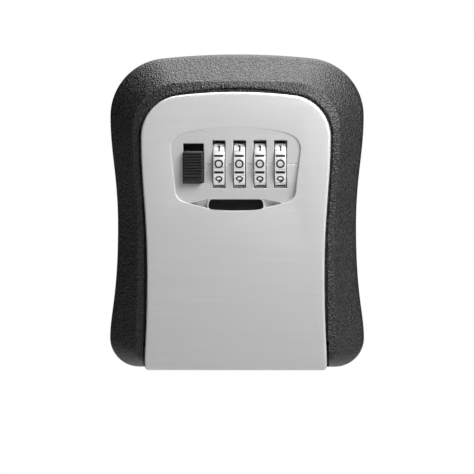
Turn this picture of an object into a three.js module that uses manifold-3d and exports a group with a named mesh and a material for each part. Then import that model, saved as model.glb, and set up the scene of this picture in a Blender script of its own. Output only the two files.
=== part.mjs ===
// Wall-mounted key lock box with a fold-down door, four number wheels and a push-down lock button.
// Frame: X to the right, Z up, the wall behind at y = 0 and the front towards -Y. Millimetres.
// The origin is the centre of the back face. A "depth" is a distance in front of the wall, so y = -depth.
import * as THREE from "three";
import { mergeVertices } from "three/addons/utils/BufferGeometryUtils.js";
import Module from "manifold-3d";

const wasm = await Module();
wasm.setup();

// ---------------------------------------------------------------- driving dimensions
const GAP = 0.3; // between pieces that touch
const CURVE_STEPS = 5; // facets on each side curve; an arc has twice as many

// Outlines seen from the front. bulge, waist and foot are half widths at their own heights.
const CASE = {
  top: 59.4, bottom: -59.2, bulge: 48.2, bulgeZ: 36, waist: 45.3, waistZ: -6, foot: 48.3,
  cornerR: 22, footR: 11,
};
const BAND_END = {
  top: 48.6, bottom: -58.4, bulge: 39.2, bulgeZ: 30, waist: 37, waistZ: -14, foot: 37.8,
  cornerR: 18, footR: 7,
};
const OPENING = {
  top: 46.1, bottom: -57.8, bulge: 36.5, bulgeZ: 28, waist: 34.4, waistZ: -20, foot: 34.9,
  cornerR: 16, footR: 4,
};
const DOOR = {
  top: 44.4, bottom: -60, bulge: 35.6, bulgeZ: 27.5, waist: 33.3, waistZ: -24, foot: 34.2,
  cornerR: 15.7, footR: 1.6,
};

// Depths in front of the wall.
const REAR_PLATE_T = 2;
const SIDE_END = 20; // the side wall leans out to here
const SHOULDER = 23.5;
const BAND_DEPTH = 34.2; // front end of the steep band
const CASE_FRONT = 35.3;
const LEDGE = 34.2; // rebate the closed door rests on
const DOOR_BACK = 34.6;
const SKIN_BACK = 36.3;
const DOOR_FRONT = 38.5;

const WALL = 2.4;
const LEDGE_W = 1.6;
const FLOOR_TOP = -56.6; // top of the case's bottom wall
const NOTCH_DEPTH = 23.7; // the bottom wall is open in front of this, for the hinge

const HINGE = { z: -54, depth: 30, r: 4, pinR: 1.5, halfBarrel: 19, knuckleEnd: 31.5 };

const AXIS = { z: 17.3, depth: 29.4 }; // number wheel shaft
const WHEEL = { r: 10, width: 4.2, pitch: 7.7, firstX: -6.3, count: 4, digits: 10 };
const HUB = { r: 6.2, width: 2.6, notch: 2.2 };
const SHAFT_R = 1.6;
const WINDOW = { width: 4.8, halfHeight: 8.95 };

const BUTTON = { x: -15.9, halfW: 3.6, bottom: 10.4, top: 22.2, front: 40, ribs: 8 };
const BUTTON_WINDOW = { halfW: 3.85, bottom: 10.2, top: 25 };

const RECESS = { topZ: 31.4, sideTop: 24.4, sideBottom: 22.6, footZ: 2.7, footX: 17.4, sagZ: -0.1 };
const RECESS_DEPTH = { top: 0.1, bottom: 3 };
const MOUTH = { halfW: 10.3, bottom: 0.25, top: 4.1 };

const BOLT = { xs: [-9.5, 4.5], width: 3.4, top: 39.9, back: 20, front: 27.3 };
const KEEPER = { halfW: 20, edge: 41.1, depth: 28, thickness: 1.6, screwDepth: 18.6 };
const HOUSING = {
  left: -23.6, right: 24.4, bottom: -6.5, back: 17, shoulder: 24, step: 21.6, stepZ: 30.6,
  wall: 1.8,
};
const LEVER = { x: 9, z: 3.2, travel: 4 }; // frees the wheels to set a new number
const SPRING = { x: -20.2, r: 1.6, wire: 0.3, turns: 8, bottom: 9, top: 30.7 };

const MOUNT_HOLES = [[-17, 34], [17, 34], [-17, -24], [17, -24]];
const MOUNT_HOLE_R = 2.6;
const REAR_SCREWS = [[-39.2, 30], [39.2, 30], [-38, -40], [38, -40]];
const KEEPER_SCREW_XS = [-14, 14];
const HOUSING_SCREWS = [[-26, 33], [26, 33], [-25.6, -1.8], [25.6, -1.8]];

// ---------------------------------------------------------------- finishes
const finish = (color, roughness, metalness) =>
  new THREE.MeshStandardMaterial({ color, roughness, metalness });
const TEXTURED_BLACK = finish(0x1d1d1f, 0.6, 0.1);
const SATIN_SILVER = finish(0xbfc0c2, 0.38, 0.6);
const RAW_CASTING = finish(0xb9babc, 0.5, 0.7);
const STEEL = finish(0xc8c8c8, 0.28, 1);
const BRIGHT_CHROME = finish(0xdedede, 0.12, 1);
const BLACK_PLASTIC = finish(0x131314, 0.42, 0);
const BLACK_RUBBER = finish(0x232323, 0.85, 0);
const BRASS = finish(0xb99b57, 0.35, 1);

// ---------------------------------------------------------------- solids
function solidOf(geometry) {
  const bare = geometry.index ? geometry.toNonIndexed() : geometry.clone();
  bare.deleteAttribute("normal");
  bare.deleteAttribute("uv");
  const merged = mergeVertices(bare, 1e-4);
  return new wasm.Manifold(
    new wasm.Mesh({
      numProp: 3,
      vertProperties: new Float32Array(merged.attributes.position.array),
      triVerts: new Uint32Array(merged.index.array),
    }),
  );
}

function geometryOf(solid) {
  const { vertProperties, triVerts } = solid.getMesh();
  const geometry = new THREE.BufferGeometry();
  geometry.setAttribute("position", new THREE.BufferAttribute(vertProperties, 3));
  geometry.setIndex(new THREE.BufferAttribute(triVerts, 1));
  const flat = geometry.toNonIndexed();
  flat.computeVertexNormals();
  return flat;
}

const join = (...solids) => solids.reduce((a, b) => a.add(b));
const cut = (solid, ...tools) => tools.reduce((a, b) => a.subtract(b), solid);

// A front-view shape given thickness between two depths.
function slab(shape, back, front, steps = CURVE_STEPS) {
  const geometry = new THREE.ExtrudeGeometry(shape, {
    depth: front - back, bevelEnabled: false, curveSegments: steps,
  });
  geometry.rotateX(Math.PI / 2);
  geometry.translate(0, -back, 0);
  return solidOf(geometry);
}

function block(x0, x1, z0, z1, back, front) {
  const geometry = new THREE.BoxGeometry(x1 - x0, front - back, z1 - z0);
  geometry.translate((x0 + x1) / 2, -(back + front) / 2, (z0 + z1) / 2);
  return solidOf(geometry);
}

function rodAcross(r, x0, x1, z, depth, sides = 24) {
  const geometry = new THREE.CylinderGeometry(r, r, x1 - x0, sides);
  geometry.rotateZ(-Math.PI / 2);
  geometry.translate((x0 + x1) / 2, -depth, z);
  return solidOf(geometry);
}

function rodDeep(r, x, z, back, front, sides = 16, backR = r) {
  const geometry = new THREE.CylinderGeometry(backR, r, front - back, sides);
  geometry.translate(x, -(back + front) / 2, z);
  return solidOf(geometry);
}

function rodUp(r, x, depth, z0, z1, sides = 12) {
  const geometry = new THREE.CylinderGeometry(r, r, z1 - z0, sides);
  geometry.rotateX(Math.PI / 2);
  geometry.translate(x, -depth, (z0 + z1) / 2);
  return solidOf(geometry);
}

// ---------------------------------------------------------------- outlines
const inset = (o, t) => ({
  ...o,
  top: o.top - t, bottom: o.bottom + t,
  bulge: o.bulge - t, waist: o.waist - t, foot: o.foot - t,
  cornerR: o.cornerR - t, footR: Math.max(o.footR - t, 0.6),
});

// The waisted outline: straight foot, sides that pull in to a waist, round shoulders and a shallow top arc.
function waisted({ top, bottom, bulge, bulgeZ, waist, waistZ, foot, cornerR, footR }) {
  const cornerX = bulge - cornerR;
  const rise = bulgeZ - top;
  const topR = (cornerR ** 2 - cornerX ** 2 - rise ** 2) / (2 * (rise + cornerR));
  const meet = Math.atan2(bulgeZ - top + topR, cornerX);
  const footTop = bottom + footR;
  const low = waistZ - footTop;
  const high = bulgeZ - waistZ;
  const shape = new THREE.Shape();
  shape.moveTo(-foot + footR, bottom);
  shape.lineTo(foot - footR, bottom);
  shape.absarc(foot - footR, footTop, footR, -Math.PI / 2, 0);
  shape.bezierCurveTo(foot, footTop + 0.22 * low, waist, waistZ - 0.62 * low, waist, waistZ);
  shape.bezierCurveTo(waist, waistZ + 0.46 * high, bulge, bulgeZ - 0.34 * high, bulge, bulgeZ);
  shape.absarc(cornerX, bulgeZ, cornerR, 0, meet);
  shape.absarc(0, top - topR, topR, meet, Math.PI - meet);
  shape.absarc(-cornerX, bulgeZ, cornerR, Math.PI - meet, Math.PI);
  shape.bezierCurveTo(-bulge, bulgeZ - 0.34 * high, -waist, waistZ + 0.46 * high, -waist, waistZ);
  shape.bezierCurveTo(-waist, waistZ - 0.62 * low, -foot, footTop + 0.22 * low, -foot, footTop);
  shape.absarc(-foot + footR, footTop, footR, Math.PI, 1.5 * Math.PI);
  return shape;
}

// A skin through outlines of one family, each at its own depth, closed at both ends.
function loft(rings) {
  const loops = rings.map(([depth, outline]) => {
    const points = waisted(outline).getPoints(CURVE_STEPS);
    if (points[0].distanceTo(points[points.length - 1]) < 1e-6) points.pop();
    return points.map((p) => [p.x, -depth, p.y]);
  });
  const n = loops[0].length;
  const indices = [];
  for (let r = 0; r + 1 < loops.length; r++)
    for (let i = 0; i < n; i++) {
      const [a, b] = [r * n + i, r * n + ((i + 1) % n)];
      indices.push(a, b, b + n, a, b + n, a + n);
    }
  const lid = (loop) => {
    const flat = loop.map(([x, , z]) => new THREE.Vector2(x, z));
    return THREE.ShapeUtils.triangulateShape(flat, []);
  };
  const last = (loops.length - 1) * n;
  for (const [a, b, c] of lid(loops[0])) indices.push(c, b, a);
  for (const [a, b, c] of lid(loops[loops.length - 1])) indices.push(last + a, last + b, last + c);
  const geometry = new THREE.BufferGeometry();
  geometry.setAttribute("position", new THREE.Float32BufferAttribute(loops.flat(2), 3));
  geometry.setIndex(indices);
  return solidOf(geometry);
}

// The dial panel's outline: shallow arc on top, sides that lean in, and a sagging foot.
function recessOutline(grow = 0) {
  const { topZ, sideTop, sideBottom, footZ, footX, sagZ } = RECESS;
  const shape = new THREE.Shape();
  shape.moveTo(-footX, footZ - grow);
  shape.quadraticCurveTo(0, 2 * sagZ - footZ - grow, footX, footZ - grow);
  shape.quadraticCurveTo(sideBottom + grow, footZ + 0.8 - grow, sideBottom + grow, footZ + 5);
  shape.lineTo(sideTop + grow, 23.5);
  shape.quadraticCurveTo(sideTop + grow, topZ - 2.2 + grow, sideTop - 6, topZ - 1.4 + grow);
  shape.quadraticCurveTo(0, topZ + 1.4 + grow, -sideTop + 6, topZ - 1.4 + grow);
  shape.quadraticCurveTo(-sideTop - grow, topZ - 2.2 + grow, -sideTop - grow, 23.5);
  shape.lineTo(-sideBottom - grow, footZ + 5);
  shape.quadraticCurveTo(-sideBottom - grow, footZ + 0.8 - grow, -footX, footZ - grow);
  return shape;
}

// Everything in front of the dial panel's leaning floor, or of a plane that far behind it.
function inFrontOfPanel(behind = 0) {
  const { topZ, footZ } = RECESS;
  const lean = (RECESS_DEPTH.bottom - RECESS_DEPTH.top) / (topZ - footZ);
  const depthAt = (z) => DOOR_FRONT - RECESS_DEPTH.top - (topZ - z) * lean - behind;
  const side = new THREE.Shape([
    new THREE.Vector2(depthAt(-20), -20),
    new THREE.Vector2(60, -20),
    new THREE.Vector2(60, 50),
    new THREE.Vector2(depthAt(50), 50),
  ]);
  const geometry = new THREE.ExtrudeGeometry(side, { depth: 80, bevelEnabled: false });
  // shape x is the depth and shape y is the height, thickness runs along X
  geometry.applyMatrix4(new THREE.Matrix4().set(0, 0, -1, 40, -1, 0, 0, 0, 0, 1, 0, 0, 0, 0, 0, 1));
  return solidOf(geometry);
}

// ---------------------------------------------------------------- the case
function caseShell() {
  const body = loft([
    [0, inset(CASE, 0.9)],
    [SIDE_END, CASE],
    [SHOULDER, inset(CASE, 0.6)],
    [BAND_DEPTH, BAND_END],
    [CASE_FRONT, inset(OPENING, -0.4)],
  ]);
  const inner = { ...inset(OPENING, LEDGE_W), bottom: FLOOR_TOP, footR: 3 };
  const cavity = slab(waisted(inner), REAR_PLATE_T, LEDGE + 1);
  const rebate = slab(waisted({ ...OPENING, bottom: -66 }), LEDGE, CASE_FRONT + 1);
  const notch = block(-OPENING.foot, OPENING.foot, -66, -49, NOTCH_DEPTH, CASE_FRONT + 1);
  const plateSeat = slab(waisted(inset(CASE, WALL)), -1, REAR_PLATE_T + GAP);
  // the hollow between the outer wall and the wall round the key space, open at the back
  const hollow = cut(
    slab(waisted(inset(CASE, WALL + 0.4)), REAR_PLATE_T, SHOULDER),
    slab(waisted({ ...inset(OPENING, LEDGE_W - WALL), bottom: -90 }), 0, SHOULDER + 1),
  );
  const bosses = REAR_SCREWS.map(([x, z]) => rodDeep(3, x, z, REAR_PLATE_T + GAP, SHOULDER + 1));
  const pilots = REAR_SCREWS.map(([x, z]) => rodDeep(1.4, x, z, 0, 12));
  const keeperPilots = KEEPER_SCREW_XS.map((x) => rodUp(1.3, x, KEEPER.screwDepth, 40, 50));
  const shell = join(cut(body, cavity, rebate, notch, plateSeat, hollow), ...bosses);
  return cut(shell, ...pilots, ...keeperPilots);
}

function rearPlate() {
  const plate = slab(waisted(inset(CASE, WALL + GAP)), 0, REAR_PLATE_T);
  const wallHoles = MOUNT_HOLES.map(([x, z]) => rodDeep(MOUNT_HOLE_R, x, z, -1, REAR_PLATE_T + 1));
  const screwHoles = REAR_SCREWS.map(([x, z]) => rodDeep(1.9, x, z, -1, REAR_PLATE_T + 1));
  const sinks = REAR_SCREWS.map(([x, z]) => rodDeep(1.9, x, z, -0.01, 1.3, 16, 3.3));
  return cut(plate, ...wallHoles, ...screwHoles, ...sinks);
}

// The two blocks that cut a cross into a screw's head.
const crossSlot = (x, z, half, back, front) => [
  block(x - half, x + half, z - 0.3, z + 0.3, back, front),
  block(x - 0.3, x + 0.3, z - half, z + half, back, front),
];

// A countersunk screw driven forwards from the back face.
function rearScrew([x, z]) {
  const body = join(rodDeep(1.5, x, z, 0.2, 1.2, 16, 2.8), rodDeep(1.1, x, z, 1.1, 10, 12));
  return cut(body, ...crossSlot(x, z, 1.8, 0, 0.7));
}

function hingeBlock() {
  const { z, depth, r, pinR, halfBarrel } = HINGE;
  const halfW = 30.2;
  const back = REAR_PLATE_T + GAP;
  const floor = block(-halfW, halfW, FLOOR_TOP + GAP, FLOOR_TOP + 2.6, back, NOTCH_DEPTH);
  const upstand = block(-halfW, halfW, FLOOR_TOP + 1, FLOOR_TOP + 9, back, back + 1.8);
  const neck = block(-halfBarrel, halfBarrel, z - 2.2, z + 3.4, NOTCH_DEPTH - 2, depth);
  const barrel = rodAcross(r, -halfBarrel, halfBarrel, z, depth);
  const hole = rodAcross(pinR + 0.15, -halfBarrel - 1, halfBarrel + 1, z, depth, 20);
  const diamond = new THREE.BoxGeometry(5.6, 5.6, 9);
  diamond.rotateZ(Math.PI / 4);
  diamond.translate(8.5, -12.5, FLOOR_TOP);
  return cut(join(floor, upstand, neck, barrel), hole, solidOf(diamond));
}

// The pin through the hinge, headed at its left end.
function hingePin() {
  const { z, depth, pinR, knuckleEnd } = HINGE;
  return join(
    rodAcross(pinR, -knuckleEnd - 0.6, knuckleEnd + 0.6, z, depth, 20),
    rodAcross(pinR + 0.7, -knuckleEnd - 0.9, -knuckleEnd - 0.3, z, depth, 20),
  );
}

// The rubber rest for the lock housing, on the floor of the case.
const floorBuffer = () => block(19, 27, FLOOR_TOP + 2.9, FLOOR_TOP + 5.4, 7, 16);

// The steel strip under the top of the opening, behind whose lip the bolts catch.
function keeperStrip() {
  const ring = (outer, within, back, front) =>
    cut(
      slab(waisted(inset(OPENING, LEDGE_W + outer)), back, front),
      slab(waisted(inset(OPENING, LEDGE_W + within)), back - 1, front + 1),
    );
  const lip = ring(GAP, 8, KEEPER.depth, KEEPER.depth + KEEPER.thickness);
  const foot = ring(GAP, GAP + 0.8, 15.5, KEEPER.depth + 1);
  const reach = block(-KEEPER.halfW, KEEPER.halfW, KEEPER.edge, 60, 0, 60);
  const holes = KEEPER_SCREW_XS.map((x) => rodUp(1.4, x, KEEPER.screwDepth, 38, 50));
  return cut(join(lip, foot).intersect(reach), ...holes);
}

const keeperScrew = (x) =>
  join(
    rodUp(2, x, KEEPER.screwDepth, 40.6, 41.9, 16),
    rodUp(1, x, KEEPER.screwDepth, 41.8, 47.5),
  );

// ---------------------------------------------------------------- the door
const wheels = [...Array(WHEEL.count).keys()];
const wheelX = (i) => WHEEL.firstX + i * WHEEL.pitch;
const hubX = (i) => wheelX(i) + WHEEL.width / 2 + GAP;

function doorPanel() {
  const { z, depth, r, pinR, halfBarrel, knuckleEnd } = HINGE;
  const edge = 1.1;
  const body = loft([
    [DOOR_BACK, inset(DOOR, 0.3)],
    [DOOR_BACK + 0.3, DOOR],
    [DOOR_FRONT - edge, DOOR],
    [DOOR_FRONT - 0.3, inset(DOOR, 0.4)],
    [DOOR_FRONT, inset(DOOR, edge)],
  ]);
  const flange = cut(
    slab(waisted({ ...inset(DOOR, 1.9), bottom: -50 }), DOOR_BACK - 3.4, DOOR_BACK + 1),
    slab(waisted({ ...inset(DOOR, 3.7), bottom: -70 }), DOOR_BACK - 5, DOOR_FRONT),
  );
  const hollow = slab(waisted({ ...inset(DOOR, 3.7), bottom: -70 }), 0, SKIN_BACK);
  const hingeRelief = block(-40, 40, -70, -51, 0, SKIN_BACK);
  const backing = slab(recessOutline(2), 32, DOOR_FRONT - 0.5).intersect(inFrontOfPanel(2));
  const recess = slab(recessOutline(0), 30, 50).intersect(inFrontOfPanel(0));
  const opened = (x, halfW, z0, z1) => block(x - halfW, x + halfW, z0, z1, 28, 45);
  const windows = wheels.map((i) =>
    opened(wheelX(i), WINDOW.width / 2, AXIS.z - WINDOW.halfHeight, AXIS.z + WINDOW.halfHeight));
  const slot = opened(BUTTON.x, BUTTON_WINDOW.halfW, BUTTON_WINDOW.bottom, BUTTON_WINDOW.top);
  const crescent = slab(crescentOutline(), 34.2, 45);
  const mouth = slab(mouthOutline(), 28, 45);
  const indexLine = block(-11.6, 24, AXIS.z - 0.25, AXIS.z + 0.25, 36.75, 45);
  const lugs = shaftLugs();
  const bosses = HOUSING_SCREWS.map(([x, at]) => rodDeep(2.6, x, at, DOOR_BACK, SKIN_BACK + 0.5));
  const pilots = HOUSING_SCREWS.map(([x, at]) => rodDeep(1.4, x, at, 30, 37.4, 12));
  const arm = (side) => {
    const [a, b] = side < 0 ? [-knuckleEnd, -halfBarrel - 0.5] : [halfBarrel + 0.5, knuckleEnd];
    return join(rodAcross(r, a, b, z, depth), block(a, b, z - r, z + r, depth, SKIN_BACK + 0.3));
  };
  const pinHole = rodAcross(pinR + 0.15, -40, 40, z, depth, 20);
  const shaftHole = rodAcross(SHAFT_R + 0.15, -12, 25, AXIS.z, AXIS.depth, 20);
  const hubRoom = wheels.map((i) =>
    rodAcross(HUB.r + 0.4, hubX(i) - 0.2, hubX(i) + HUB.width + 0.2, AXIS.z, AXIS.depth));
  const skin = cut(body, hollow, hingeRelief);
  const plate = join(skin, flange, backing, ...bosses, ...lugs, arm(-1), arm(1));
  const openings = [recess, ...windows, slot, crescent, mouth, indexLine];
  return cut(plate, ...openings, pinHole, shaftHole, ...pilots, ...hubRoom);
}

const shaftLugs = () =>
  [[-10.9, -9.1], [22.2, 24]].map(([a, b]) =>
    block(a, b, AXIS.z - 3.2, AXIS.z + 3.2, AXIS.depth - 3, 36));

// The shadowed finger groove under the dial panel.
function crescentOutline() {
  const { footZ, footX, sagZ } = RECESS;
  const shape = new THREE.Shape();
  shape.moveTo(-footX + 0.4, footZ + 0.02);
  shape.quadraticCurveTo(0, 2 * sagZ - footZ, footX - 0.4, footZ + 0.02);
  shape.lineTo(MOUTH.halfW + 0.4, MOUTH.top + 0.1);
  shape.lineTo(-MOUTH.halfW - 0.4, MOUTH.top + 0.1);
  return shape;
}

// The finger hole in the groove.
function mouthOutline() {
  const { halfW, bottom, top } = MOUTH;
  const shape = new THREE.Shape();
  shape.moveTo(-halfW + 1, bottom + 0.5);
  shape.quadraticCurveTo(0, bottom - 0.5, halfW - 1, bottom + 0.5);
  shape.quadraticCurveTo(halfW, bottom + 0.7, halfW, bottom + 1.6);
  shape.quadraticCurveTo(halfW - 0.2, top, halfW - 1.6, top);
  shape.lineTo(-halfW + 1.6, top);
  shape.quadraticCurveTo(-halfW + 0.2, top, -halfW, bottom + 1.6);
  shape.quadraticCurveTo(-halfW, bottom + 0.7, -halfW + 1, bottom + 0.5);
  return shape;
}

// The cup behind the finger hole, wider than the hole.
const fingerCup = () =>
  cut(
    block(-12.3, 12.3, -3.6, 5.6, 29.8, 33),
    block(-MOUTH.halfW - 0.4, MOUTH.halfW + 0.4, -2.2, MOUTH.top + 0.3, 31, 36),
  );

// ---------------------------------------------------------------- the number wheels
// A round wheel with ten grooves across its rim, one half-way between each two figures.
function numberWheel(i) {
  const x = wheelX(i);
  const half = WHEEL.width / 2;
  let wheel = rodAcross(WHEEL.r, x - half, x + half, AXIS.z, AXIS.depth, 40);
  for (let n = 0; n < WHEEL.digits; n++) {
    const angle = ((n + 0.5) / WHEEL.digits) * 2 * Math.PI;
    const groove = new THREE.BoxGeometry(WHEEL.width + 1, 1.2, 0.75);
    groove.translate(0, -WHEEL.r, 0);
    groove.rotateX(angle);
    groove.translate(x, -AXIS.depth, AXIS.z);
    wheel = wheel.subtract(solidOf(groove));
  }
  return wheel.subtract(rodAcross(SHAFT_R + 0.15, x - 9, x + 9, AXIS.z, AXIS.depth, 20));
}

// The disc beside a wheel, with a notch that lets the latch's tooth in.
function codeHub(i) {
  const x0 = hubX(i);
  const disc = rodAcross(HUB.r, x0, x0 + HUB.width, AXIS.z, AXIS.depth, 24);
  const half = HUB.notch / 2;
  const notch = block(
    x0 - 1, x0 + HUB.width + 1, AXIS.z + 3.6, AXIS.z + 9, AXIS.depth - half, AXIS.depth + half,
  );
  return cut(disc, notch, rodAcross(SHAFT_R + 0.15, x0 - 1, x0 + 9, AXIS.z, AXIS.depth, 20));
}

const dialShaft = () =>
  join(
    rodAcross(SHAFT_R, -11.1, 24.6, AXIS.z, AXIS.depth, 20),
    rodAcross(SHAFT_R + 0.9, 24.3, 25.2, AXIS.z, AXIS.depth, 20),
  );

// The click spring: a flat strip under the wheels with one bent finger for each.
function clickSpring() {
  const strip = block(-10.4, 20.6, -1.6, -0.6, 19.2, 25.4);
  const fingers = wheels.map((i) => {
    const [a, b] = [wheelX(i) - 1.3, wheelX(i) + 1.3];
    return join(block(a, b, -1.2, 6.2, 24.9, 25.4), block(a, b, 5.8, 6.6, 24.9, 27.6));
  });
  return join(strip, ...fingers);
}

// ---------------------------------------------------------------- the latch
// The slide: a cross bar with a tooth over each code hub, two bolts on top and a leg down beside
// the wheels, behind the button's stem.
function latchSlide() {
  const plateFront = AXIS.depth + 1;
  const bar = block(-22.6, 22, 31, 33.6, AXIS.depth - 1, plateFront);
  const teeth = wheels.map((i) => {
    const [a, b] = [hubX(i) + 0.3, hubX(i) + HUB.width - 0.3];
    return block(a, b, AXIS.z + HUB.r + 0.4, 31.5, AXIS.depth - 0.9, AXIS.depth + 0.9);
  });
  const half = BOLT.width / 2;
  const bolts = BOLT.xs.map((x) => block(x - half, x + half, 31.2, BOLT.top, BOLT.back, BOLT.front));
  const necks = BOLT.xs.map((x) => block(x - half, x + half, 31.2, 34.6, BOLT.front - 1, plateFront));
  const bridge = block(BOLT.xs[0] - half, BOLT.xs[1] + half, 31.2, 34.6, BOLT.back, BOLT.back + 1.4);
  const leg = block(BUTTON.x - 1.4, BUTTON.x + 1.4, 9, 31.5, AXIS.depth - 0.8, plateFront);
  return join(bar, bridge, leg, ...teeth, ...bolts, ...necks);
}

// The ribbed button, on a skirt that stays behind its window.
function lockButton() {
  const { x, halfW, bottom, top, front, ribs } = BUTTON;
  const skirt = block(x - 4.6, x + 4.6, 7.2, 26.2, 31.7, 33);
  const body = block(x - halfW, x + halfW, bottom, top, 32.5, front - 1);
  const pitch = (top - bottom - 2.4) / ribs;
  const ridges = [...Array(ribs).keys()].map((i) => {
    const z = bottom + 2.2 + i * pitch;
    return block(x - halfW, x + halfW, z, z + 0.6 * pitch, front - 1.5, front);
  });
  const stem = block(x - 1.8, x + 1.8, 12, 20, AXIS.depth + 1 + GAP, 32);
  return join(skirt, body, stem, ...ridges);
}

// A compression spring as a closed helix of round wire, standing along Z.
function coilSpring() {
  const { x, r, wire, turns, bottom, top } = SPRING;
  class Helix extends THREE.Curve {
    getPoint(t, target = new THREE.Vector3()) {
      const a = t * turns * 2 * Math.PI;
      const z = bottom + wire + (top - bottom - 2 * wire) * t;
      return target.set(x + r * Math.cos(a), -AXIS.depth + r * Math.sin(a), z);
    }
  }
  const section = new THREE.Shape();
  section.absarc(0, 0, wire, 0, 2 * Math.PI);
  const geometry = new THREE.ExtrudeGeometry(section, {
    steps: turns * 9, extrudePath: new Helix(), curveSegments: 3, bevelEnabled: false,
  });
  return solidOf(geometry);
}

// ---------------------------------------------------------------- the lock housing
// The cover over the wheels and the latch, screwed to the inside of the door.
function lockHousing() {
  const { left, right, bottom, back, shoulder, step, stepZ, wall } = HOUSING;
  const base = 34.3;
  const rounded = (grow) =>
    waisted({
      ...inset(DOOR, 4.2 + grow), bottom: bottom + grow,
      waistZ: 8, waist: 29 - grow, foot: 28.6 - grow, footR: 5 - grow,
    });
  const outer = cut(
    slab(rounded(0), back, base),
    block(-50, 50, stepZ, 60, 0, step),
    block(right, 60, -20, 60, 0, shoulder),
    block(-60, left, -20, 60, 0, shoulder),
  );
  const inner = cut(
    slab(rounded(wall), back + wall, base + 1),
    block(-50, 50, stepZ - wall, 60, 0, step + wall),
    block(right - wall, 60, -20, 60, 0, shoulder + wall),
    block(-60, left + wall, -20, 60, 0, shoulder + wall),
  );
  const seatEnd = SPRING.x + SPRING.r + 0.6;
  const seatTop = SPRING.bottom - GAP;
  const springSeat = block(left + 0.5, seatEnd, 6.4, seatTop, back + 0.5, AXIS.depth + 1.8);
  const slotHalf = BOLT.width / 2 + 0.35;
  const boltSlots = BOLT.xs.map((x) => block(x - slotHalf, x + slotHalf, 30.9, 60, 0, 31));
  const bridgeSlot = block(BOLT.xs[0], BOLT.xs[1], 30.9, 37.6, 0, step + wall + 1);
  const posts = HOUSING_SCREWS.map(([x, z]) => rodDeep(2.8, x, z, shoulder + 0.4, base));
  const holes = HOUSING_SCREWS.map(([x, z]) => rodDeep(1.6, x, z, 10, 40, 12));
  const heads = HOUSING_SCREWS.map(([x, z]) => rodDeep(2.3, x, z, 10, 27, 16));
  const leverEnd = LEVER.x + 2.2 + LEVER.travel;
  const leverSlot = block(LEVER.x - 2.2, leverEnd, LEVER.z - 2.2, LEVER.z + 2.2, 0, back + wall + 1);
  const cupRoom = block(-12.8, 12.8, -4.2, 6.1, 29.5, 40);
  const shell = join(cut(outer, inner), springSeat, ...posts);
  return cut(shell, ...boltSlots, bridgeSlot, ...holes, ...heads, leverSlot, cupRoom);
}

// The lever on the inside of the door, held behind its slot by a wider foot.
function codeLever() {
  const { x, z } = LEVER;
  const { back, wall } = HOUSING;
  const inside = back + wall + 0.2;
  const knob = block(x - 1.8, x + 1.8, z - 1.8, z + 1.8, back - 1.6, back + 2.4);
  const ridge = block(x - 0.5, x + 0.5, z - 1.8, z + 1.8, back - 2.1, back);
  const foot = block(x - 4, x + 4, z - 3, z + 2.6, inside, inside + 1);
  return join(knob, ridge, foot);
}

function housingScrew([x, z]) {
  const body = join(rodDeep(2, x, z, 25.4, 26.7, 16), rodDeep(1.2, x, z, 26.6, 36.9, 12));
  return cut(body, ...crossSlot(x, z, 1.3, 20, 26.1));
}

// ---------------------------------------------------------------- assembly
function place(name, solid, material, group) {
  const mesh = new THREE.Mesh(geometryOf(solid), material);
  mesh.name = name;
  group.add(mesh);
}

const caseGroup = new THREE.Group();
place("case_shell", caseShell(), TEXTURED_BLACK, caseGroup);
place("rear_plate", rearPlate(), RAW_CASTING, caseGroup);
place("hinge_block", hingeBlock(), RAW_CASTING, caseGroup);
place("hinge_pin", hingePin(), STEEL, caseGroup);
place("floor_buffer", floorBuffer(), BLACK_RUBBER, caseGroup);
place("keeper_strip", keeperStrip(), STEEL, caseGroup);
KEEPER_SCREW_XS.forEach((x, i) =>
  place(`keeper_screw_${i + 1}`, keeperScrew(x), STEEL, caseGroup));
REAR_SCREWS.forEach((spot, i) =>
  place(`rear_screw_${i + 1}`, rearScrew(spot), STEEL, caseGroup));

const doorGroup = new THREE.Group();
place("door_panel", doorPanel(), SATIN_SILVER, doorGroup);
place("finger_cup", fingerCup(), BLACK_PLASTIC, doorGroup);
place("lock_housing", lockHousing(), RAW_CASTING, doorGroup);
place("dial_shaft", dialShaft(), STEEL, doorGroup);
place("click_spring", clickSpring(), BRASS, doorGroup);
place("code_lever", codeLever(), BRASS, doorGroup);
HOUSING_SCREWS.forEach((spot, i) =>
  place(`housing_screw_${i + 1}`, housingScrew(spot), STEEL, doorGroup));
for (let i = 0; i < WHEEL.count; i++) {
  place(`number_wheel_${i + 1}`, numberWheel(i), BRIGHT_CHROME, doorGroup);
  place(`code_hub_${i + 1}`, codeHub(i), BRASS, doorGroup);
}
place("latch_slide", latchSlide(), STEEL, doorGroup);
place("lock_button", lockButton(), BLACK_PLASTIC, doorGroup);
place("latch_spring", coilSpring(), STEEL, doorGroup);

const box = new THREE.Group();
box.add(caseGroup, doorGroup);
export default box;
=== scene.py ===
"""Looks for a wall-mounted key lock box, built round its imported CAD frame.

Shapes are written in millimetres and made in metres. A "depth" is a distance in front of the wall
(the frame's y = 0), so y = -depth. X is to the right and Z is up.
"""

import math

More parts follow.
